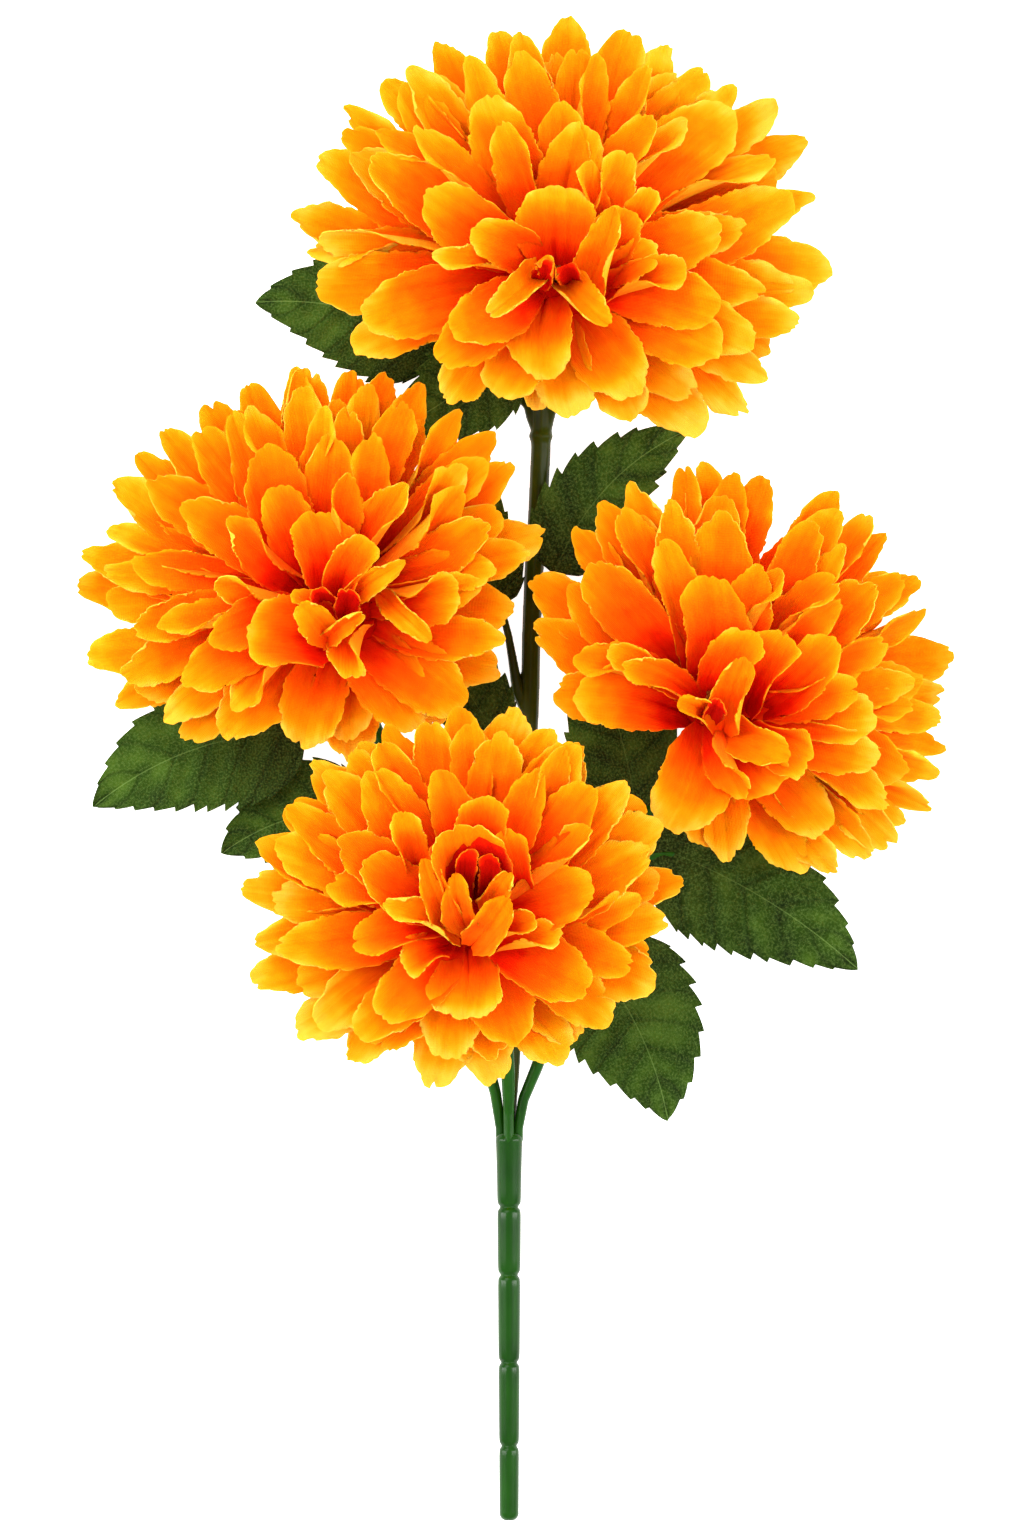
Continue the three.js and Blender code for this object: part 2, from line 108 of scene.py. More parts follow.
# Petals by how far out their tips are, as shares of the bloom's reach: where their roots are,
# the height of the root over the rim's level, and how far the tip stands over the dome.
TIP_SHARES = (0.17, 0.36, 0.55, 0.74, 0.92, 1.0)
ROOT_SHARES = (0.04, 0.05, 0.07, 0.09, 0.12, 0.15)
ROOT_HEIGHTS = (14, 11, 8, 4, 1, -2)
TIP_LIFTS = (3, 1.5, 1, 0.5, 0, -2)
PETAL_ROLLS = (1.0, 0.75, 0.5, 0.4, 0.35, 0.3)  # how far each edge turns up, in radians
PETAL_THICKNESS = 0.3
PETAL_WIDTH = 12.5  # at least, where a petal is seen flat
PETAL_OVERLAP = 1.18  # how much wider a petal is than what its neighbours leave visible

# The ranges in which petals differ from the rule, in millimetres, radians and shares of it.
PLAY = Sizes(
    height=(-1, 1), lips=(-0.2, 0.5), roll=(0.3, 1.2),
    tilt=(-0.15, 0.15), ruffle=(0.2, 0.8), curl=(-2.5, 1.5),
)
# A petal that shows less than its width is seen partly from its edge: how much it then tilts,
# turns up a lip and ripples, per radian.
FOLDED = Sizes(tilt=0.6, lip=2.2, ruffle=0.6)
LOW_SIDE_GOLD = 0.4  # how much more golden petals are towards the handle

# The outline of a petal: how wide its foot is, and how far along its shoulder is. Its end is a
# part of an ellipse, on which the sides' rows end in corners, at an angle from the tip.
OUTLINE = Sizes(
    foot=0.36, foot_power=1.3, shoulder=0.62, shoulder_play=(-0.1, 0.05),
    corner=radians(47), closing=(0.7, 1.5), edge_start=0.3,
)
# How a pointed petal differs, and where on the dye's run from root to tip it is evenly dyed.
POINTED = Sizes(shoulder=-0.16, closing=1.2, ruffle=0.8, evenness=0.66, dyed=0.4)
# The cut edge: its lobes, which wander and fade with sines of a size and a rate, and a notch.
LOBES = {
    "pitch": (1.5, 2.7), "depth": 0.75, "power": 1.3, "wander": (0.6, 0.8), "fade": (0.4, 0.45),
    "slow": (0.3, 0.9), "notch": (0, 1.6), "notch_place": (-4, 4), "notch_width": 0.6,
}
# A petal's knee, lips, waves with small frills, curled end, midrib, creases and bow. Depths are
# shares of its width, places are shares of its length, and waves are in radians along it.
FOLDS = Sizes(
    knee=0.4, knee_height=1.5, lip_start=0.15, lip_run=0.4, lip_power=1.3,
    lip_bell=2.8, waves=(6, 10), frills=(20, 32), frill=0.45, ruffle_power=2.2,
    curl_start=0.6, midrib=0.055, midrib_width=0.11, midrib_fade=0.4,
    creases=((-0.7, -0.25), (0.25, 0.7)), crease=(-0.06, 0.05), crease_width=0.13,
    bow=(-0.06, 0.06),
)
# Rows along a petal, close together where its edge is lobed, and columns closer at its edges.
PETAL_T = np.concatenate([np.linspace(0, 0.4, 7)[:-1], np.linspace(0.4, 1, 34)])[:, None]
PETAL_U = np.sin(np.linspace(-1, 1, 21) * radians(76))[None, :]
PETAL_U = PETAL_U / PETAL_U.max()

# Each petal whose tip shows in the photograph, as it was read there: where the middle of
# its tip is, across and down, and how wide it looks, in pixels.
PETALS = {
    "top": [
        (568, 13, 60), (497, 27, 50), (520, 30, 45), (437, 40, 44), (467, 54, 44), (520, 50, 52),
        (409, 66, 46), (381, 79, 42), (400, 84, 50), (344, 106, 42), (341, 129, 46), (315, 156, 50),
        (379, 127, 28), (416, 126, 34), (369, 160, 58), (483, 96, 60), (499, 123, 42), (291, 214, 48),
        (318, 238, 38), (307, 253, 26), (424, 195, 62), (314, 287, 60), (361, 318, 62), (450, 335, 56),
        (437, 364, 50), (497, 399, 54), (571, 418, 57), (637, 397, 62), (636, 419, 52), (704, 433, 56),
        (749, 411, 42), (767, 378, 40), (722, 352, 60), (757, 342, 55), (720, 310, 58), (800, 323, 42),
        (765, 290, 50), (838, 265, 62), (818, 290, 45), (819, 194, 40), (797, 197, 62), (746, 225, 52),
        (722, 228, 55), (809, 135, 54), (778, 99, 42), (774, 152, 32), (737, 82, 50), (708, 65, 46),
        (735, 105, 66), (672, 40, 34), (631, 26, 54), (645, 60, 32), (580, 45, 44), (603, 53, 28),
        (651, 114, 36), (685, 116, 30), (562, 101, 55), (583, 123, 56), (597, 164, 30), (631, 153, 36),
    ],
    "left": [
        (303, 366, 50), (351, 368, 48), (385, 371, 42), (247, 380, 50), (205, 401, 50), (230, 410, 46),
        (160, 427, 46), (133, 450, 42), (197, 427, 55), (111, 480, 46), (147, 479, 52), (103, 524, 38),
        (262, 446, 58), (272, 486, 48), (82, 553, 46), (67, 582, 52), (101, 570, 36), (129, 563, 42),
        (182, 503, 52), (229, 518, 34), (215, 580, 28), (80, 657, 50), (132, 628, 40), (156, 622, 30),
        (120, 676, 50), (113, 704, 38), (208, 640, 46), (182, 683, 48), (162, 720, 48), (181, 740, 42),
        (222, 737, 62), (231, 709, 30), (421, 730, 64), (463, 709, 60), (504, 641, 44), (483, 586, 42),
        (407, 486, 38), (330, 434, 52), (377, 434, 38), (347, 407, 38), (322, 406, 24), (371, 382, 40),
        (421, 382, 42), (406, 402, 38), (460, 410, 38), (494, 432, 46), (484, 457, 40), (513, 463, 42),
        (466, 466, 36), (468, 491, 28), (489, 524, 48), (545, 532, 50), (529, 550, 50), (495, 565, 42),
        (347, 474, 28), (294, 366, 36), (251, 405, 26), (300, 385, 46),
    ],
    "right": [
        (630, 482, 46), (600, 502, 50), (572, 529, 32), (622, 508, 38), (670, 500, 46), (684, 463, 36),
        (705, 461, 48), (733, 471, 42), (763, 473, 50), (722, 511, 58), (530, 578, 48), (588, 565, 55),
        (532, 625, 50), (574, 653, 30), (728, 862, 46), (808, 872, 62), (836, 875, 36), (872, 858, 42),
        (895, 845, 46), (910, 822, 36), (933, 806, 24), (942, 779, 40), (891, 803, 42), (953, 746, 42),
        (953, 695, 40), (957, 654, 58), (933, 614, 24), (922, 577, 42), (886, 530, 42), (872, 511, 38),
        (836, 489, 42), (838, 507, 42), (816, 521, 42), (845, 546, 36), (905, 577, 50), (876, 586, 55),
        (834, 574, 26), (842, 602, 36), (760, 565, 46), (781, 570, 22), (890, 647, 32), (860, 690, 40),
        (916, 683, 40), (947, 718, 42), (914, 706, 36), (742, 800, 24),
    ],
    "front": [
        (388, 724, 44), (427, 720, 46), (460, 706, 40), (515, 706, 54), (550, 727, 44), (575, 742, 54),
        (628, 784, 46), (660, 822, 55), (684, 880, 46), (668, 920, 46), (642, 905, 34), (655, 985, 58),
        (633, 967, 46), (612, 1022, 50), (563, 1063, 56), (515, 1045, 58), (493, 1087, 58),
        (432, 1088, 58), (445, 1060, 56), (350, 1061, 50), (296, 1035, 50), (315, 1024, 55),
        (357, 1037, 50), (380, 1018, 57), (249, 980, 50), (254, 943, 40), (275, 948, 52),
        (240, 886, 50), (256, 842, 42), (275, 843, 50), (285, 806, 42), (312, 762, 50), (325, 772, 44),
        (350, 750, 44), (378, 742, 40), (368, 770, 57), (440, 768, 46), (470, 721, 42), (503, 732, 48),
        (540, 768, 42), (566, 748, 36), (592, 784, 50), (650, 850, 58), (592, 829, 30), (593, 882, 58),
        (588, 990, 60), (340, 838, 46), (362, 862, 52), (328, 882, 38), (351, 940, 40),
    ],
}
# The petals round each heart: root and tip, across and down, and visible width, in pixels, and how
# far an edge is turned up and over, in radians, above 0 on the left as seen from the root. Deep
# ones are the walls of a hollow, dyed a darker red for painted shade there, and golden ones are
# narrow and waved, and stand in front.
HEART_PETALS = {
    "top": {
        "open": [
            (557, 280, 555, 186, 72, 0.3), (540, 270, 471, 230, 46, -0.6),
            (545, 276, 430, 257, 28, 2.2), (556, 286, 541, 259, 20, -1.0),
            (600, 284, 625, 208, 48, 0.4), (618, 256, 653, 188, 30, -1.0),
            (600, 284, 657, 246, 36, 0.6), (592, 294, 686, 268, 42, -2.0),
            (549, 286, 541, 382, 62, 0.3),
        ],
        "golden": [
            (545, 264, 488, 319, 38, 0.8), (561, 272, 609, 328, 38, -0.8),
            (583, 294, 614, 209, 48, -1.4),
        ],
        "deep": [(536, 286, 548, 264, 24, 0), (572, 286, 564, 266, 24, 0)],
    },
    "left": {
        "open": [
            (330, 606, 313, 511, 60, 0.4), (339, 607, 366, 537, 46, -0.5),
            (384, 604, 460, 592, 56, 2.0), (332, 642, 247, 632, 72, 0.6),
            (336, 632, 294, 590, 20, 1.6), (364, 620, 348, 679, 44, 2.2),
            (332, 646, 300, 748, 60, 0.3), (350, 646, 352, 763, 58, 0.3),
        ],
        "golden": [
            (344, 602, 407, 562, 26, -0.8), (378, 592, 432, 643, 28, 0.8),
            (334, 646, 298, 603, 34, -0.8), (322, 646, 363, 613, 24, 0.8),
        ],
        "deep": [(322, 616, 318, 588, 26, 0), (342, 618, 350, 590, 26, 0)],
    },
    "right": {
        "open": [
            (705, 702, 708, 574, 62, 0.4), (698, 690, 662, 538, 42, 0.8),
            (704, 706, 606, 648, 36, -1.6), (706, 710, 622, 664, 34, 1.8),
            (714, 712, 749, 629, 54, -1.0), (744, 712, 784, 632, 54, -0.6),
            (746, 714, 838, 640, 50, 0.5),
            (746, 717, 877, 716, 56, -0.8), (745, 720, 880, 760, 48, 0.6),
            (738, 736, 812, 760, 50, 1.2), (738, 740, 776, 791, 58, 0.4),
            (712, 722, 670, 832, 70, 0.3), (690, 716, 573, 693, 62, 0.3),
        ],
        "golden": [
            (722, 732, 744, 656, 52, -0.8), (724, 728, 790, 757, 44, 0.8),
            (710, 720, 676, 700, 28, 0.8),
        ],
        "deep": [(708, 724, 716, 700, 24, 0)],
    },
    "front": {
        "open": [
            (467, 948, 463, 1018, 70, 0.3), (490, 932, 536, 917, 32, -1.5),
            (485, 944, 562, 932, 34, -2.2), (449, 944, 402, 966, 38, 1.6),
            (520, 905, 504, 828, 40, -1.2), (484, 860, 485, 796, 52, 0.4),
            (423, 892, 401, 810, 34, 1.0), (487, 906, 503, 860, 24, -0.8),
            (473, 906, 460, 825, 84, 0.3),
        ],
        "golden": [
            (460, 938, 383, 901, 38, 1.0), (470, 946, 509, 896, 46, 0.8),
            (455, 930, 423, 857, 36, 0.8), (468, 932, 454, 871, 38, -0.8),
            (484, 910, 511, 870, 28, 0.8),
        ],
        "deep": [
            (474, 905, 461, 831, 76, 0.4), (470, 902, 468, 848, 24, 0.6),
            (482, 904, 490, 852, 24, -0.6),
        ],
    },
}
# How much higher these are, and how much more golden, pointed and waved, than others there.
HEART_FOLDS = {
    "open": {"rise": 0, "gold": 0.3, "point": 0},
    "golden": {"rise": 4, "gold": 1.4, "point": 1},
    # The deep ones' much lower gold is painted shade: a darker red inside the hollow.
    "deep": {"rise": 1, "gold": -2.3, "point": 0},
}
HEART_WIDTH = 7  # of the narrowest petals there
# Where the other petals of a bloom gather, across and down.
GATHERS = {"top": (553, 275), "left": (331, 608), "right": (707, 705), "front": (468, 918)}
# The ring of petals under the others: how far out it reaches, and how much lower it is.
UNDER_PETALS = Sizes(count=12, share=0.86, height=-6, play=(-0.2, 0.2))

# ---- Leaves, stems and small parts ----

# A leaf: powers for how full its width is towards its foot and tip, the saw teeth of its edge
# and the rows on each, its veins with the fabric puffed up between them, and its slow waves.
LEAF = Sizes(
    thickness=0.35, columns=21, foot=0.42, tip=0.88,
    tooth=4.6, tooth_play=(0.75, 1.25), tooth_rows=(0, 0.3, 0.55, 0.8, 0.97),
    tooth_depth=1.7, depth_play=(0.6, 1.3), tooth_lead=1.3, lead_from=0.4,
    edge_power=6, veins=6, vein_slant=0.2, puff=0.5, fold=1.3,
    midrib_depth=0.5, midrib_width=0.9, wave=0.7, wave_rate=8, wave_offset=1.3,
)
# Each leaf, from leaf_01 on: its foot and tip, how far its midrib bows sideways and how high it
# arches, its width, and how much its halves fold up, or down below 0.
LEAVES = (
    ((-16.1, 100.9, 3.2), (-61.8, 112.2, 6), -4, 3, 32, 1),
    ((-0.2, 100.4, 5.1), (-28.7, 81.1, 9), 1, 1.4, 26, 0.8),
    ((13.9, 98.6, 6.5), (51, 113, 7), 3, 1.4, 25, 0.8),
    ((10.1, 46.6, 8), (43, 81.8, 7), 5, 3, 25, -1.5),
    ((-2.7, 39, 8), (-3.5, 66.5, 10), 2, 1.2, 16, 0.6),
    ((-2.3, 7, 5.7), (-17.2, 40.3, 8.4), 3, 1.6, 20, 0.8),
    ((-49.5, 8.7, 6.3), (-101, -9.4, 3), -5, 3, 34, 1.5),
    ((-35.9, -9.6, 4.6), (-70, -20.6, 1.4), -3, 0.6, 27, 0.8),
    ((18.7, -45.1, 9.4), (37.6, -85, 2), 3, 3, 36, -1.4),
    ((33, -18.4, 5.7), (83.4, -48.5, 2), 3, 3, 35, -1.2),
    ((30.1, -10.1, 8.6), (18.8, 30.7, 9), -1, 2, 29, 1),
)

# The stems, rounded off: the voxels and rounds of smoothing, how much they swell against the
# smoothing's shrinkage, and the part of each end that is drawn down into the handle.
STEM = Sizes(voxel=0.25, rounds=6, swell=0.15, end=1, drawn=2.5)
KNOT = Sizes(node="top_stem", y=80, length=1.1, swell=0.5)  # where the upper twigs join

# A calyx: how far it is under its bloom's root, and its radii and heights from the foot up to
# the brim and back down inside. Its sepals part where it is wider than its neck.
CALYX = Sizes(
    root=-5, gap=0.35, height=6.5, neck=3, spread=5, notch=0.14,
    sepals=6, sides=72,
    profile=(
        (0.01, 0), (2.3, 0), (2.8, 0.25), (2.9, 0.8), (3.1, 1.6), (3.6, 2.6), (4.7, 3.8),
        (6.1, 5), (7.2, 5.8), (7.9, 6.3), (7.5, 6.4), (6.4, 6.1), (3, 5.8), (0.01, 5.8),
    ),
)
# The tuft at a heart: beads on a spiral over a low dome.
TUFT = Sizes(beads=26, reach=2.0, height=1.7, dome=2.6)
BEAD = Sizes(radius=0.48, half_height=0.55, pole=0.98, rows=7, sides=10)

# ---- Colours and studio ----

# The dye of a petal, by its place on the run from root to tip. Its deep red low end is partly
# the dye and partly painted shade, where the petals crowd together at their roots.
PETAL_DYE_AND_SHADE = (
    (0.0, "#B00800"), (0.06, "#C80A00"), (0.17, "#E41200"), (0.32, "#F03800"), (0.49, "#F04E00"),
    (0.63, "#F06400"), (0.75, "#F07C00"), (0.81, "#F08C06"), (0.87, "#F09A14"), (1.0, "#F4B83A"),
)
# That place is how far along the petal a point is, moved by shares of two noises, of the petal's
# own tint and paleness, and of how near its end, its flanks and its lower side the point is.
DYE_SCALE = 0.85
DYE_BASE = -0.565
DYE_SHARES = {
    "blotches": 0.45, "streaks": 0.2, "tint": 0.07, "pale": 0.26,
    "end": 0.14, "flank": 0.14, "back": 0.3,
}
# Golds over the dye, and how strongly: on the cut rim, partly a paler cut edge and partly a
# painted edge highlight, on the lower side and on the raised threads.
GOLDS = (("#F4AA1C", 0.28), ("#F6B838", 0.15), ("#F2A60E", 0.22))
PETAL_THREADS = Sizes(pitch=0.5, turn=radians(40), depth=0.00015)

LEAF_GREENS = ((0.2, "#101E03"), (0.5, "#233A06"), (0.8, "#3E5816"))
LEAF_THREADS = Sizes(pitch=0.56, turn=radians(35), depth=0.0002)
# Painted shade towards a leaf's foot, where it lies under the blooms.
LEAF_FOOT_SHADE = "#101402"  # towards its foot
# Light specks of the weave, partly a painted sheen on the fabric.
LEAF_SPECKS_AND_SHEEN = ("#6C8842", 0.45)
# Painted shade in the creases along the veins.
LEAF_CREASE_SHADE = ("#0A1602", 0.2)
LEAF_MIDRIB = "#7C9A50"
MIDRIB_HALF = 0.13

# Moulded plastics and the tufts' felt: dark and light colour, roughness, specular level and
# depth of grain in metres.
PLASTICS = {
    "stem_plastic": ("#0C3402", "#1C5206", 0.3, 0.12, 0.0001),
    "main_stem_plastic": ("#1C2202", "#344008", 0.3, 0.07, 0.0001),
    "handle_plastic": ("#083000", "#154404", 0.18, 0.14, 0.00004),
    "calyx_plastic": ("#2C5A1C", "#4B7D31", 0.5, 0.4, 0.0002),
    "button_felt": ("#561C02", "#8A4208", 0.9, 0.1, 0.0004),
}

# Soft lights: place and size in metres, and power in watts.
LIGHTS = {
    "key": ((-0.9, 1.0, 1.7), (1.5, 1.5), 32),
    "fill": ((1.2, -0.6, 2.0), (2.4, 2.4), 6),
    "left_strip": ((-1.5, 0, 0.85), (0.22, 1.8), 20),
    "right_strip": ((1.5, 0, 0.85), (0.22, 1.8), 20),
}
SKY = Sizes(colour="#FFFFFF", strength=1.15)
FLOOR = Sizes(colour="#F7F7F5", glow=0.95, half=20, level=-0.0002)  # in metres
# The camera: its distance and the level that fills its frame, in millimetres, its sensor's
# width, and how far it sees, in metres.
VIEW = Sizes(distance=6000, level=30, sensor=36, clip_end=100)


# ---- Meshes ----


def unit(vectors):
    return vectors / np.linalg.norm(vectors, axis=-1, keepdims=True)


def link(thing):
    bpy.context.scene.collection.objects.link(thing)
    return thing


class Pieces:
    """Points, faces and per-point values that grow into one mesh."""

    def __init__(self):
        self.points, self.faces, self.values = [], [], {}
        self.count = 0

    def add(self, points, faces, **values):
        """Adds points, their faces and a row of each value for each point."""
        self.points.append(points)
        self.faces += [tuple(int(i) + self.count for i in face) for face in faces]
        self.count += len(points)
        for name, value in values.items():
            self.values.setdefault(name, []).append(value)
        return self

    def add_sheet(self, grid, thickness, **values):
        """A closed thin sheet round a grid of points. Its "back" is 0 above it and 1 below."""
        rows, columns = grid.shape[:2]
        normals = unit(np.cross(np.gradient(grid, axis=0), np.gradient(grid, axis=1)))
        sides = [(grid + side * thickness * normals / 2).reshape(-1, 3) for side in (1, -1)]
        doubled = {
            name: np.concatenate([value.reshape(rows * columns, -1)] * 2)
            for name, value in values.items()
        }
        back = np.repeat([0.0, 1.0], rows * columns)[:, None]
        return self.add(np.concatenate(sides), sheet_faces(rows, columns), back=back, **doubled)

    def add_rings(self, rings, **values):
        """A closed body of rings of points, equally many."""
        columns = len(rings[0])
        last = (len(rings) - 1) * columns
        faces = [
            (a + j, a + (j + 1) % columns, a + columns + (j + 1) % columns, a + columns + j)
            for a in range(0, last, columns)
            for j in range(columns)
        ]
        faces.append(tuple(reversed(range(columns))))
        faces.append(tuple(last + j for j in range(columns)))
        return self.add(np.concatenate(rings), faces, **values)

    def build(self, name):
        """One object of all the pieces, smooth but for its sharp edges."""
        mesh = bpy.data.meshes.new(name)
        places = (np.concatenate(self.points) + SHIFT) * MM
        mesh.from_pydata(places.tolist(), [], self.faces)
        for key, parts in self.values.items():
            value = np.concatenate(parts).astype(np.float32)
            vector = value.shape[1] == 3
            kind, field = ("FLOAT_VECTOR", "vector") if vector else ("FLOAT", "value")
            mesh.attributes.new(key, kind, "POINT").data.foreach_set(field, value.ravel())
        mesh.validate()
        mesh.shade_smooth()
        mesh.set_sharp_from_angle(angle=radians(60))
        return link(bpy.data.objects.new(name, mesh))


def sheet_faces(rows, columns):
    """The faces of a closed sheet: its upper side, its lower side and the edge round it."""
    under = rows * columns
    index = np.arange(under).reshape(rows, columns)
    faces = []
    for a in index[:-1, :-1].ravel():
        b = a + columns
        faces += [(a, b, b + 1, a + 1), (under + a, under + a + 1, under + b + 1, under + b)]
    loop = [*index[:, 0], *index[-1, 1:], *index[-2::-1, -1], *index[0, -2:0:-1]]
    return faces + [(b, a, under + a, under + b) for a, b in zip(loop, loop[1:] + loop[:1])]


def spine(foot, knee, tip, t):
    """Points and headings on the quadratic curve from foot to tip with its knee between."""
    s = 1 - t
    points = s * s * foot + 2 * s * t * knee + t * t * tip
    return points, unit(s * (knee - foot) + t * (tip - knee))


def circle(sides):
    return np.linspace(0, FULL_TURN, sides, endpoint=False)


def points_at(x, y, z):
    """Points from arrays of coordinates, or from one number for all of them."""
    return np.stack(np.broadcast_arrays(x, y, z), axis=-1)


# ---- Petals ----


def fullness(x, y):
    """How much further a bloom reaches in the direction x, y than the ellipse of its sides."""
    diagonal = 2 * x * y / (x * x + y * y) if x or y else 0
    return 1 + FULLNESS * diagonal**2


def reach_towards(bloom, x, y):
    """How far a bloom reaches across and up, on the sides where x and y are."""
    right, left, up, down = bloom["reach"]
    return np.array([right if x > 0 else left, up if y > 0 else down])


def in_bloom(bloom, x, y, z):
    """The point of a bloom at shares x and y of its reach, z over its rim's level."""
    low = radians(bloom["low_side"])
    towards_low = x * cos(low) + y * sin(low)
    hang = bloom["droop"] * max(0, towards_low) ** 4
    aside = np.array([x, y]) * fullness(x, y) * reach_towards(bloom, x, y)
    return np.append(bloom["heart"] + aside, bloom["rim"] + z - bloom["lean"] * towards_low - hang)


def shares_of(bloom, plan):
    """How far out a point of the plan is in a bloom, as shares of its reach across and up."""
    aside = np.subtract(plan, bloom["heart"])
    shares = aside / reach_towards(bloom, *aside)
    return shares / fullness(*shares)


def on_photo(across, down):
    """The plan place of a pixel of the photograph."""
    centre = PHOTO.centre
    return np.array([across - centre[0], centre[1] - down]) * PHOTO.mm_per_pixel


def above_floor(height):
    """Bends heights smoothly so that they stay over the surface that the spray lies on."""
    return FLOOR_SOFTNESS * np.logaddexp(0, height / FLOOR_SOFTNESS) + PETAL_THICKNESS


def bell(places, width):
    """1 at place 0, falling off to both sides over the width."""
    return np.exp(-((places / width) ** 2))


def scallops(place, draw):
    """How far a cut edge lies back between its lobes, at places along it in millimetres."""

    def sine(name):
        size, rate = LOBES[name]
        return size * np.sin(rate * place + draw.uniform(0, FULL_TURN))

    wandering = place + sine("wander")
    pitch = draw.uniform(*LOBES["pitch"])
    lobes = np.abs(np.sin(pi * wandering / pitch + draw.uniform(0, pi)))
    depth = LOBES["depth"] * (1 - LOBES["fade"][0] + sine("fade"))
    notch = draw.uniform(*LOBES["notch"])
    notch = notch * bell(place - draw.uniform(*LOBES["notch_place"]), LOBES["notch_width"])
    return depth * (1 - lobes) ** LOBES["power"] + notch + sine("slow")


def petal_outline(length, width, point, draw):
    """A flat petal: the half width of each row, how far along each point is, as a share of the
    length, and how far its cut edge steps back along and across it."""
    t, u = PETAL_T, PETAL_U
    foot, corner = OUTLINE.foot, OUTLINE.corner
    shoulder = OUTLINE.shoulder + POINTED.shoulder * point
    shoulder += draw.uniform(*OUTLINE.shoulder_play)
    opening = np.sin(np.clip(t / shoulder, 0, 1) * pi / 2) ** OUTLINE.foot_power
    swell = foot + (1 - foot) * opening
    closing = np.clip((t - shoulder) / (1 - shoulder), 0, 1)
    facing = pi / 2 - (pi / 2 - corner) * closing
    power = draw.uniform(*OUTLINE.closing) + POINTED.closing * point
    half = width / 2 * swell * np.sin(facing) ** power
    rounding = np.sqrt(1 - (u * sin(corner)) ** 2) - cos(corner)
    end = shoulder + (1 - shoulder) * (np.cos(facing) + closing * rounding)
    reach = np.where(t < shoulder, t, end)
    round_edge = corner * width / 2 * u + np.sign(u) * u**4 * (1 - t) * length
    at_side = np.clip(t / OUTLINE.edge_start, 0, 1) * u**6
    at_end = np.clip(10 * t - 9, 0, 1) ** 2
    back = scallops(round_edge, draw) * np.maximum(at_side, at_end)
    angle = facing * np.abs(u)
    return half, reach, back * np.cos(angle), np.sign(u) * back * np.sin(angle)


def rolled_section(slopes):
    """How far aside and up a cross-section runs, in half widths, from its slopes across."""
    steps = np.diff(PETAL_U)
    between = (slopes[:, 1:] + slopes[:, :-1]) / 2
    runs = []
    for run in (np.cos(between) * steps, np.sin(between) * steps):
        run = np.pad(np.cumsum(run, axis=1), ((0, 0), (1, 0)))
        runs.append(run - run[:, PETAL_U.size // 2, None])
    return runs


def wavy_lift(form, width, draw):
    """How far a petal's waves, curled end, midrib and creases lift its fabric."""
    t, u = PETAL_T, PETAL_U
    phases = draw.uniform(0, FULL_TURN, 2)[(u > 0).astype(int)]
    waves = np.sin(draw.uniform(*FOLDS.waves) * t + phases)
    frills = np.sin(draw.uniform(*FOLDS.frills) * t + 2 * phases)
    waves = waves + FOLDS.frill * np.abs(u) * frills
    lift = form.ruffle * np.abs(u) ** FOLDS.ruffle_power * t * waves
    curled = np.clip((t - FOLDS.curl_start) / (1 - FOLDS.curl_start), 0, 1)
    midrib = bell(u, FOLDS.midrib_width) * (1 - FOLDS.midrib_fade * t)
    lift = lift + form.curl * curled**2 - FOLDS.midrib * width * midrib
    for crease in [draw.uniform(*span) for span in FOLDS.creases]:
        ridge = bell(u - crease * (0.6 + 0.4 * t), FOLDS.crease_width)
        lift = lift + draw.uniform(*FOLDS.crease) * width * ridge * np.sin(t * pi)
    return lift


def petal(pieces, foot, tip, width, form, pale, draw):
    """A heat-formed fabric petal from foot to tip: cupped, tilted, with its edges turned up."""
    t, u = PETAL_T, PETAL_U
    length = np.linalg.norm(tip - foot)
    half, reach, cut_along, cut_across = petal_outline(length, width, form.point, draw)
    knee = foot + FOLDS.knee * (tip - foot)
    knee[2] = max(foot[2], tip[2]) + FOLDS.knee_height
    middle, heading = spine(foot, knee, tip, (reach - cut_along / length)[..., None])
    plan = unit(heading * (1, 1, 0))
    level = points_at(-plan[..., 1], plan[..., 0], 0)
    upright = unit(np.cross(heading, level))
    sideways = cos(form.tilt) * level + sin(form.tilt) * upright
    normal = cos(form.tilt) * upright - sin(form.tilt) * level
    turned = np.clip((np.abs(u) - FOLDS.lip_start) / FOLDS.lip_run, 0, 1)
    lips = np.array(form.lips)[(u > 0).astype(int)] * turned ** FOLDS.lip_power
    slopes = form.roll * (0.6 + 0.6 * (1 - t)) * u
    slopes = slopes + np.sign(u) * lips * np.sin(t * FOLDS.lip_bell) ** 2
    aside, lift = rolled_section(slopes)
    aside = aside * half - cut_across * np.cos(slopes)
    lift = lift * half - cut_across * np.sin(slopes) + wavy_lift(form, width, draw)
    bow = draw.uniform(*FOLDS.bow) * length * np.sin(t * pi)
    grid = middle + (aside + bow)[..., None] * sideways + lift[..., None] * normal
    grid[..., 2] = above_floor(grid[..., 2])
    along, across = np.broadcast_arrays(t, u)
    pieces.add_sheet(
        grid,
        PETAL_THICKNESS,
        along=along * (1 - POINTED.evenness * form.point) + POINTED.dyed * form.point,
        across=across,
        cloth=points_at(reach * length, half * u, draw.uniform(0, 50)),
        tint=np.full(along.shape, draw.uniform(-1, 1)),
        pale=np.full(along.shape, pale),
    )


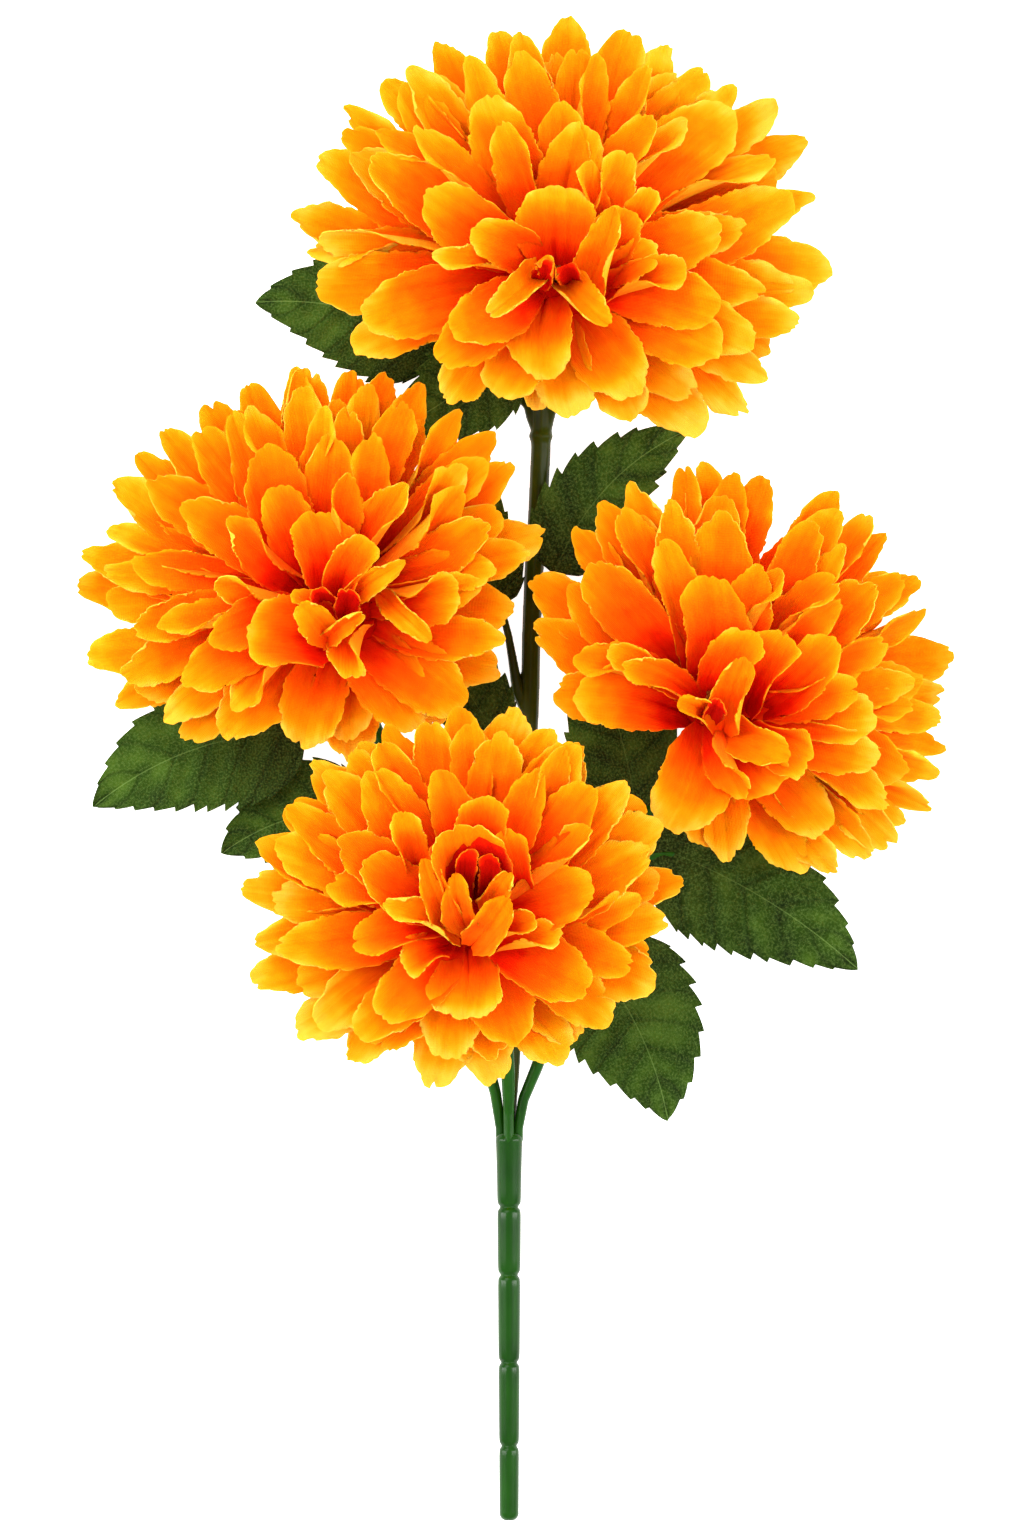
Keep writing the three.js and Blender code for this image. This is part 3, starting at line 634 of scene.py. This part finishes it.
def placed_petal(
    pieces, bloom, root, tip, width, draw, rise=0, lip=0, point=0, gold=0, least=PETAL_WIDTH
):
    """A petal between places of the plan, at the heights that its bloom has there."""
    x, y = shares_of(bloom, tip)
    share = hypot(x, y)

    def rule(stations):
        return float(np.interp(share, TIP_SHARES, stations))

    dome = bloom["dome"] * max(0, 1 - share**2) ** DOME_ROUNDNESS
    height = dome + rule(TIP_LIFTS) + draw.uniform(*PLAY.height) + rise
    foot = in_bloom(bloom, *shares_of(bloom, root), rule(ROOT_HEIGHTS) + rise)
    full_width = max(PETAL_OVERLAP * width, least)
    folding = acos(min(1, PETAL_OVERLAP * width / full_width))
    side = draw.integers(2)
    lips = draw.uniform(*PLAY.lips, 2)
    if lip:
        side = int(lip > 0)
        lips[side] += abs(lip)
    else:
        lips[side] += FOLDED.lip * folding
    form = Sizes(
        roll=rule(PETAL_ROLLS) * draw.uniform(*PLAY.roll),
        tilt=(2 * side - 1) * FOLDED.tilt * folding + draw.uniform(*PLAY.tilt),
        lips=lips,
        ruffle=draw.uniform(*PLAY.ruffle) + FOLDED.ruffle * folding + POINTED.ruffle * point,
        point=point,
        curl=draw.uniform(*PLAY.curl),
    )
    downwards = (bloom["heart"][1] - tip[1]) / max(bloom["reach"])
    pale = share + LOW_SIDE_GOLD * downwards + bloom["gold"] + gold
    petal(pieces, foot, in_bloom(bloom, x, y, height), full_width, form, pale, draw)


def root_of(bloom, gather, tip):
    """Where a petal of which only the tip shows comes out, close to the gathering point."""
    share = hypot(*shares_of(bloom, tip))
    root = np.interp(share, TIP_SHARES, ROOT_SHARES) / max(share, TIP_SHARES[0])
    return gather + root * (tip - gather)


def add_core(pieces, bloom):
    """The gathered middle of the layers, under the petals."""
    rings = []
    for rise in np.linspace(pi - CORE.pole, CORE.pole, CORE.rows):
        share, up = bloom["core"] * sin(rise), cos(rise)
        z = up * (bloom["dome"] * CORE.rise if up > 0 else CORE.depth)
        rings.append(np.array([
            in_bloom(bloom, share * cos(turn), share * sin(turn), z)
            for turn in circle(CORE.columns)
        ]))
    points = np.concatenate(rings)
    nothing = np.zeros((len(points), 1))
    pieces.add_rings(
        rings, along=nothing, across=nothing, tint=nothing, back=nothing,
        pale=nothing + CORE.pale, cloth=points,
    )


def make_bloom(name, bloom):
    """A bloom: its core, the petals of its heart, those further out, and a ring underneath."""
    draw = np.random.default_rng(bloom["seed"])
    gather = on_photo(*GATHERS[name])
    pieces = Pieces()
    add_core(pieces, bloom)
    for kind, petals in HEART_PETALS[name].items():
        for *ends, pixels, lip in petals:
            root, tip = on_photo(*ends[:2]), on_photo(*ends[2:])
            width = pixels * PHOTO.mm_per_pixel
            form = {"lip": lip, "least": HEART_WIDTH, **HEART_FOLDS[kind]}
            placed_petal(pieces, bloom, root, tip, width, draw, **form)
    for *place, pixels in PETALS[name]:
        tip, width = on_photo(*place), pixels * PHOTO.mm_per_pixel
        placed_petal(pieces, bloom, root_of(bloom, gather, tip), tip, width, draw)
    share, drop = UNDER_PETALS.share, UNDER_PETALS.height
    for i in range(UNDER_PETALS.count):
        turn = (i + draw.uniform(*UNDER_PETALS.play)) / UNDER_PETALS.count * FULL_TURN
        if "gap" in bloom and cos(turn - radians(bloom["gap"])) > GAP_WIDTH:
            continue
        tip = in_bloom(bloom, share * cos(turn), share * sin(turn), 0)[:2]
        root = root_of(bloom, gather, tip)
        placed_petal(pieces, bloom, root, tip, PETAL_WIDTH, draw, rise=drop)
    return pieces.build(f"{name}_petals")


# ---- Leaves ----


def leaf_swell(t):
    """The half width of a leaf at t of its length, as a share of the greatest."""
    widest = LEAF.foot / (LEAF.foot + LEAF.tip)
    return (t / widest) ** LEAF.foot * ((1 - t) / (1 - widest)) ** LEAF.tip


def saw_rows(length, draw):
    """The rows of a leaf: how far along it and its tooth they are, and how deep that is cut."""
    teeth = round(length / LEAF.tooth)
    ends = np.cumsum(draw.uniform(*LEAF.tooth_play, teeth))
    ends = np.concatenate([[0], ends / ends[-1]])
    steps = np.array(LEAF.tooth_rows)
    t = (ends[:-1, None] + np.diff(ends)[:, None] * steps).ravel()
    saw = np.tile(steps, teeth)
    depth = np.repeat(draw.uniform(*LEAF.depth_play, teeth), steps.size)
    return [np.append(row, last)[:, None] for row, last in ((t, 1), (saw, 1), (depth, 0))]


def leaf_lift(t, u, half, swell, fold, draw):
    """How far a leaf's fold, midrib, puffed fabric and slow waves lift it."""
    vein = (t - LEAF.vein_slant * np.abs(u)) * LEAF.veins
    puff = np.cos(FULL_TURN * vein) * (1 - np.abs(u) ** 3) * np.clip(np.abs(u) * 4, 0, 1)
    midrib = LEAF.midrib_depth * bell(u * half, LEAF.midrib_width)
    lift = fold * swell * u**2 * LEAF.fold - midrib - LEAF.puff * puff * np.sin(t * pi)
    phase = draw.uniform(0, 6) + np.sign(u) * LEAF.wave_offset
    return lift + LEAF.wave * np.sin(t * LEAF.wave_rate + phase) * u**2


def make_leaf(node, seed, foot, tip, bow, arch, width, fold):
    """A leaf blade with saw teeth towards its tip, a midrib and slanting side veins."""
    foot, tip = np.array(foot, float), np.array(tip, float)
    draw = np.random.default_rng(seed)
    ahead = unit(tip - foot)
    knee = (foot + tip) / 2 + np.array([-ahead[1], ahead[0], 0]) * 2 * bow
    knee[2] = (foot[2] + tip[2]) / 2 + 2 * arch
    length = np.linalg.norm(tip - foot)
    t, saw, depth = saw_rows(length, draw)
    u = np.linspace(-1, 1, LEAF.columns)[None, :]
    middle, heading = spine(foot, knee, tip, t)
    sideways = unit(points_at(-heading[:, 1], heading[:, 0], 0))
    normal = unit(np.cross(heading, sideways))
    swell = leaf_swell(t)
    half = width / 2 * swell
    at_edge = np.abs(u) ** LEAF.edge_power
    edge = half - LEAF.tooth_depth * depth * (1 - saw) * np.sqrt(swell) * at_edge
    lead = LEAF.tooth_lead * (saw - LEAF.lead_from) * swell * at_edge
    lift = leaf_lift(t, u, half, swell, fold, draw)
    grid = (
        middle[:, None, :]
        + (edge * u)[..., None] * sideways[:, None, :]
        + lift[..., None] * normal[:, None, :]
        + lead[..., None] * heading[:, None, :]
    )
    grid[..., 2] = np.maximum(grid[..., 2], LEAF.thickness / 2)
    along, across = np.broadcast_arrays(t, u)
    cloth = points_at(t * length, edge * u, draw.uniform(0, 90))
    values = {"along": along, "across": across, "cloth": cloth}
    return Pieces().add_sheet(grid, LEAF.thickness, **values).build(f"{node}_blade")


# ---- Stems, calyxes, buttons and handle ----


def make_handle():
    """The moulded handle: flared where the stems run into it, with grooves round it."""
    end, top = HANDLE.end, HANDLE.top
    brim = top + HANDLE.crown
    y = np.concatenate([
        end + END_ROUNDING.run * np.linspace(0, 1, ROUNDING_ROWS)[:-1] ** 2,
        np.linspace(end + END_ROUNDING.run, brim - TOP_ROUNDING.run, HANDLE.rows),
        brim - TOP_ROUNDING.run * np.linspace(1, 0, ROUNDING_ROWS)[1:] ** 2,
    ])
    share = (y - end) / (top - end)
    axis = HANDLE.end_radius + share * (HANDLE.top_radius - HANDLE.end_radius)
    radius = axis + HANDLE.flare * np.exp(-np.maximum(0, top - y) / HANDLE.flare_length)
    for groove in HANDLE.grooves:
        for depth, width in GROOVE_CUTS:
            radius *= 1 - depth * bell(y - groove, width)
    for inwards, rounding in ((y - end, END_ROUNDING), (brim - y, TOP_ROUNDING)):
        lost = rounding.loss * np.maximum(0, 1 - inwards / rounding.run) ** 2
        radius *= np.sqrt(1 - lost)
    turn = circle(HANDLE.sides)[::-1]
    x, up = np.outer(radius, np.cos(turn)), np.outer(radius, np.sin(turn))
    rings = points_at(HANDLE.x + x, y[:, None], axis[:, None] + up)
    return Pieces().add_rings(rings).build("handle_moulding")


def rounded_stem(node, name):
    """A copy of a CAD stem with its facets and joints rounded off, run down into the handle."""
    piece = link(bpy.data.objects.new(name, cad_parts[node].data.copy()))
    piece.data.materials.clear()
    remesh = piece.modifiers.new("remesh", "REMESH")
    remesh.mode = "VOXEL"
    remesh.voxel_size = STEM.voxel * MM
    smooth = piece.modifiers.new("smooth", "SMOOTH")
    smooth.iterations = STEM.rounds
    bpy.context.view_layer.update()
    settled = piece.evaluated_get(bpy.context.evaluated_depsgraph_get())
    mesh = bpy.data.meshes.new_from_object(settled)
    piece.modifiers.clear()
    piece.data = mesh
    normals = np.array([vertex.normal for vertex in mesh.vertices])
    places = np.array([vertex.co for vertex in mesh.vertices])
    swell = np.full(len(places), STEM.swell)
    if node == KNOT.node:
        beyond = places[:, 1] / MM - SHIFT[1] - KNOT.y
        swell += KNOT.swell * bell(beyond, KNOT.length)
    places += normals * swell[:, None] * MM
    end = places[:, 1] < places[:, 1].min() + STEM.end * MM
    places[end, 1] -= STEM.drawn * MM
    mesh.vertices.foreach_set("co", places.ravel())
    mesh.shade_smooth()
    return piece


def cad_place(node):
    """The middle of a CAD node's box and its lowest level, from the middle of the photograph."""
    low, high = (np.array(corner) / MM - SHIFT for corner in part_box(node))
    return (low + high) / 2, low[2]


def make_calyx(name, bloom):
    """A moulded cup whose brim ends in blunt sepals and leans with the back of its bloom."""
    centre, _ = cad_place(f"{name}_calyx")
    turn = circle(CALYX.sides)
    notch = CALYX.notch * (1 - np.cos(turn * CALYX.sepals)) / 2
    foot = in_bloom(bloom, 0, 0, CALYX.root)[2] - CALYX.gap - CALYX.height
    rings = []
    for radius, height in CALYX.profile:
        wide = radius * (1 - notch * np.clip((radius - CALYX.neck) / CALYX.spread, 0, 1))
        x, y = wide * np.cos(turn), wide * np.sin(turn)
        shares = [np.array(place) / reach_towards(bloom, *place) for place in zip(x, y)]
        back = np.array([in_bloom(bloom, *share, 0)[2] for share in shares])
        leaning = (back - bloom["rim"]) * height / CALYX.height
        rings.append(points_at(centre[0] + x, centre[1] + y, foot + height + leaning))
    return Pieces().add_rings(rings).build(f"{name}_sepals")


def make_button(name):
    """The tuft at the heart: a little dome of beads."""
    centre, low = cad_place(f"{name}_button")
    golden = pi * (3 - sqrt(5))
    turn = circle(BEAD.sides)
    beads = Pieces()
    for i in range(TUFT.beads):
        reach = TUFT.reach * sqrt((i + 0.5) / TUFT.beads)
        x = centre[0] + reach * cos(i * golden)
        y = centre[1] + reach * sin(i * golden)
        z = low + TUFT.height * sqrt(1 - (reach / TUFT.dome) ** 2)
        rings = []
        for rise in np.linspace(-BEAD.pole, BEAD.pole, BEAD.rows):
            wide = BEAD.radius * sqrt(1 - rise**2)
            level = z + BEAD.half_height * rise
            rings.append(points_at(x + wide * np.cos(turn), y + wide * np.sin(turn), level))
        beads.add_rings(rings)
    return beads.build(f"{name}_tuft")


# ---- Materials ----


def linear(code):
    """A #RRGGBB colour as linear RGBA."""
    shares = [int(code[i : i + 2], 16) / 255 for i in (1, 3, 5)]
    return [s / 12.92 if s <= 0.04045 else ((s + 0.055) / 1.055) ** 2.4 for s in shares] + [1]


class Look:
    """A node material round one Principled shader."""

    def __init__(self, name, roughness, specular):
        self.material = bpy.data.materials.new(name)
        self.material.use_nodes = True
        self.tree = self.material.node_tree
        self.shader = self.tree.nodes["Principled BSDF"]
        self.set("Roughness", roughness)
        self.set("Specular IOR Level", specular)

    def set(self, socket, value):
        self.shader.inputs[socket].default_value = value

    def node(self, kind, settings=None, **inputs):
        """A node with its settings, and its inputs by name, or by number as _0, _1 and so on."""
        node = self.tree.nodes.new(f"ShaderNode{kind}")
        for key, value in (settings or {}).items():
            setattr(node, key, value)
        for key, value in inputs.items():
            self.feed(node.inputs[int(key[1:]) if key.startswith("_") else key], value)
        return node

    def feed(self, socket, value):
        """Links a socket into another, or sets a value on it."""
        if isinstance(value, bpy.types.NodeSocket):
            self.tree.links.new(value, socket)
        else:
            socket.default_value = value

    def field(self, name, kind="Fac"):
        return self.node("Attribute", {"attribute_name": name}).outputs[kind]

    def maths(self, operation, a, b=0.0, c=0.0):
        return self.node("Math", {"operation": operation}, _0=a, _1=b, _2=c).outputs[0]

    def times(self, a, b):
        return self.maths("MULTIPLY", a, b)

    def beyond(self, value, start, gain):
        """How far a value is beyond a start, times a gain, kept from 0 to 1."""
        run = self.times(self.maths("SUBTRACT", value, start), gain)
        return self.maths("MINIMUM", self.maths("MAXIMUM", run, 0.0), 1.0)

    def ramp(self, fac, stops):
        """A colour from a ramp of places and colours."""
        node = self.node("ValToRGB", _0=fac)
        elements = node.color_ramp.elements
        while len(elements) < len(stops):
            elements.new(0.5)
        for element, (place, colour) in zip(elements, stops):
            element.position = place
            element.color = linear(colour)
        return node.outputs["Color"]

    def over(self, base, colour, fac):
        """A colour laid over a base one, by its share."""
        node = self.node("Mix", {"data_type": "RGBA"}, _0=fac)
        self.feed(node.inputs[6], base)
        self.feed(node.inputs[7], linear(colour))
        return node.outputs[2]

    def noise(self, vector, scale, detail):
        """Soft random blotches from 0 to 1."""
        return self.node("TexNoise", Vector=vector, Scale=scale, Detail=detail).outputs["Fac"]

    def stretched(self, vector, scale, turn=0.0):
        """A place scaled and turned before a texture is laid on it."""
        node = self.node("Mapping", Vector=vector, Scale=scale, Rotation=(0, 0, turn))
        return node.outputs[0]

    def weave(self, vector, pitch, turn):
        """A plain weave of threads: high where a thread passes over."""
        placed = self.stretched(vector, (1, 1, 0), turn)
        split = self.node("SeparateXYZ", Vector=placed)
        angles = [self.times(split.outputs[i], FULL_TURN / pitch) for i in (0, 1)]
        waves = [self.maths("SINE", angle) for angle in angles]
        return self.maths("MULTIPLY_ADD", self.times(*waves), 0.5, 0.5)

    def bump(self, height, distance, strength, normal=None):
        """A normal for a relief whose height is in metres."""
        node = self.node("Bump", Height=height, Distance=distance, Strength=strength)
        if normal is not None:
            self.feed(node.inputs["Normal"], normal)
        return node.outputs["Normal"]

    def finish(self, colour, normal=None):
        self.feed(self.shader.inputs["Base Color"], colour)
        if normal is not None:
            self.feed(self.shader.inputs["Normal"], normal)
        return self.material


def petal_look():
    """Dyed fabric: red-orange at the root, partly painted shade there, golden at the tip, and
    paler along the cut edge, partly a painted edge highlight.
    """
    look = Look("petal_fabric", roughness=0.9, specular=0.03)
    look.set("Subsurface Weight", 0.35)
    look.set("Subsurface Radius", (1.0, 0.45, 0.15))
    look.set("Subsurface Scale", 0.0015)
    cloth = look.field("cloth", "Vector")
    along, across, back = look.field("along"), look.field("across"), look.field("back")
    aside = look.maths("ABSOLUTE", across)
    fields = {
        "blotches": look.noise(cloth, 0.14, 2.0),
        "streaks": look.noise(look.stretched(cloth, (0.05, 0.6, 1)), 1.0, 2.0),
        "tint": look.field("tint"),
        "pale": look.field("pale"),
        "end": look.maths("POWER", along, 3.0),
        "flank": look.maths("POWER", aside, 3.0),
        "back": back,
    }
    place = look.maths("ADD", along, DYE_BASE)
    for name, share in DYE_SHARES.items():
        place = look.maths("MULTIPLY_ADD", fields[name], share, place)
    # Deep red at the low end of the ramp: partly the dye, partly painted shade at the roots.
    dye_and_painted_light = look.ramp(look.times(place, DYE_SCALE), PETAL_DYE_AND_SHADE)

    # The cut rim's gold: partly the paler cut edge, partly a painted edge highlight.
    side_rim = look.times(look.maths("POWER", aside, 26.0), along)
    rim = look.maths("MAXIMUM", side_rim, look.maths("POWER", along, 80.0))
    paleness = look.beyond(place, 0.0, 1.0)
    threads = look.weave(cloth, PETAL_THREADS.pitch, PETAL_THREADS.turn)
    lining, raised = look.times(back, paleness), look.times(threads, paleness)
    for fac, (colour, share) in zip((rim, lining, raised), GOLDS):
        dye_and_painted_light = look.over(dye_and_painted_light, colour, look.times(fac, share))
    normal = look.bump(threads, PETAL_THREADS.depth, 0.8)
    normal = look.bump(fields["streaks"], 0.0014, 0.5, normal)
    return look.finish(dye_and_painted_light, normal)


def leaf_look():
    """Green fabric with light specks, partly a painted sheen, painted light on the puffs between its
    veins, painted shade in its creases and towards its foot, and a thin pale midrib.
    """
    look = Look("leaf_fabric", roughness=0.75, specular=0.06)
    cloth = look.field("cloth", "Vector")
    along, across = look.field("along"), look.maths("ABSOLUTE", look.field("across"))
    vein = look.maths("MULTIPLY_ADD", across, -LEAF.vein_slant, along)
    vein = look.maths("FRACT", look.times(vein, LEAF.veins))
    vein = look.maths("ABSOLUTE", look.maths("SUBTRACT", vein, 0.5))
    # Paler between the veins: painted light on the puffed fabric there.
    between = look.maths("SUBTRACT", vein, 0.25)
    fac = look.maths("MULTIPLY_ADD", between, 0.4, look.noise(cloth, 0.12, 3.0))
    green = look.ramp(fac, LEAF_GREENS)
    # Painted shade, darker towards the foot, where the leaf lies under the blooms.
    green = look.over(green, LEAF_FOOT_SHADE, look.beyond(along, 0.55, -1.4))

    weave = look.weave(cloth, LEAF_THREADS.pitch, LEAF_THREADS.turn)
    # Light specks of the weave, in clusters: partly a painted sheen.
    clusters = look.beyond(look.noise(cloth, 1.9, 3.0), 0.42, 3.5)
    specks = look.times(look.maths("MULTIPLY_ADD", weave, 0.7, 0.3), clusters)
    # Darker along the veins: painted shade in their creases.
    crease = look.beyond(vein, 0.1, -10.0)
    for fac, (colour, share) in ((specks, LEAF_SPECKS_AND_SHEEN), (crease, LEAF_CREASE_SHADE)):
        green = look.over(green, colour, look.times(fac, share))

    split = look.node("SeparateXYZ", Vector=cloth)
    aside = look.maths("ABSOLUTE", split.outputs[1])
    midrib = look.maths("LESS_THAN", aside, MIDRIB_HALF)
    pale = look.times(midrib, look.maths("MULTIPLY_ADD", along, 0.35, 0.05))
    green = look.over(green, LEAF_MIDRIB, pale)
    normal = look.bump(specks, LEAF_THREADS.depth, 0.7)
    normal = look.bump(crease, -0.0004, 0.7, normal)
    return look.finish(green, normal)


def plastic_look(name, dark, light, roughness, specular, grain):
    """Moulded plastic, streaked along its length."""
    look = Look(name, roughness, specular)
    place = look.node("TexCoord").outputs["Object"]
    streaks = look.noise(look.stretched(place, (900, 60, 900)), 1.0, 3.0)
    blotches = look.noise(place, 90.0, 2.0)
    fac = look.maths("MULTIPLY_ADD", streaks, 0.5, look.times(blotches, 0.5))
    colour = look.ramp(fac, ((0.3, dark), (0.7, light)))
    return look.finish(colour, look.bump(streaks, grain, 0.5))


# ---- Dressing ----


def dress(piece, material, slot, *nodes):
    """Gives a piece its finish, and has it stand for its CAD nodes."""
    piece.data.materials.clear()
    piece.data.materials.append(material)
    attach(piece, "root")
    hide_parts(*nodes)


petal_fabric = petal_look()
leaf_fabric = leaf_look()
plastics = {name: plastic_look(name, *values) for name, values in PLASTICS.items()}

for name, bloom in BLOOMS.items():
    dress(make_bloom(name, bloom), petal_fabric, "petals", f"{name}_bloom")
    dress(make_calyx(name, bloom), plastics["calyx_plastic"], "calyx", f"{name}_calyx")
    dress(make_button(name), plastics["button_felt"], "button", f"{name}_button")
    plastic = plastics["main_stem_plastic" if name == "top" else "stem_plastic"]
    stem = rounded_stem(f"{name}_stem", f"{name}_branch")
    dress(stem, plastic, "stem", f"{name}_stem")

for number, shape in enumerate(LEAVES, 1):
    node = f"leaf_{number:02}"
    dress(make_leaf(node, number, *shape), leaf_fabric, "leaf", node)

dress(make_handle(), plastics["handle_plastic"], "handle", "handle")


# ---- Studio ----


def floor():
    """A plain pale floor, just under the surface that the spray lies on."""
    look = Look("pale_floor", roughness=0.9, specular=0.1)
    look.finish(linear(FLOOR.colour))
    look.set("Emission Color", linear("#FFFFFF"))
    look.set("Emission Strength", FLOOR.glow)
    mesh = bpy.data.meshes.new("floor")
    signs = ((-1, -1), (1, -1), (1, 1), (-1, 1))
    corners = [(x * FLOOR.half, y * FLOOR.half, FLOOR.level) for x, y in signs]
    mesh.from_pydata(corners, [], [(0, 1, 2, 3)])
    mesh.materials.append(look.material)
    link(bpy.data.objects.new("floor", mesh))


def area_light(name, place, size, power):
    """A soft light turned to the middle of the spray."""
    data = bpy.data.lights.new(name, "AREA")
    data.shape = "RECTANGLE"
    data.size, data.size_y = size
    data.energy = power
    light = link(bpy.data.objects.new(name, data))
    light.location = place
    light.rotation_euler = (-Vector(place)).to_track_quat("-Z", "Y").to_euler()


def sky():
    """Even light from all round."""
    world = bpy.data.worlds.new("studio")
    bpy.context.scene.world = world
    world.use_nodes = True
    background = world.node_tree.nodes["Background"]
    background.inputs["Color"].default_value = linear(SKY.colour)
    background.inputs["Strength"].default_value = SKY.strength


def camera():
    """Looks straight down on the middle of the photograph, with the handle at the bottom."""
    data = bpy.data.cameras.new("camera")
    data.sensor_width = VIEW.sensor
    height = PHOTO.height * PHOTO.mm_per_pixel
    data.lens = VIEW.sensor * (VIEW.distance - VIEW.level) / height
    data.clip_end = VIEW.clip_end
    view = link(bpy.data.objects.new("camera", data))
    view.location = (SHIFT[0] * MM, SHIFT[1] * MM, VIEW.distance * MM)
    bpy.context.scene.camera = view


floor()
sky()
for light, settings in LIGHTS.items():
    area_light(light, *settings)
camera()
bpy.context.scene.view_settings.view_transform = "Standard"
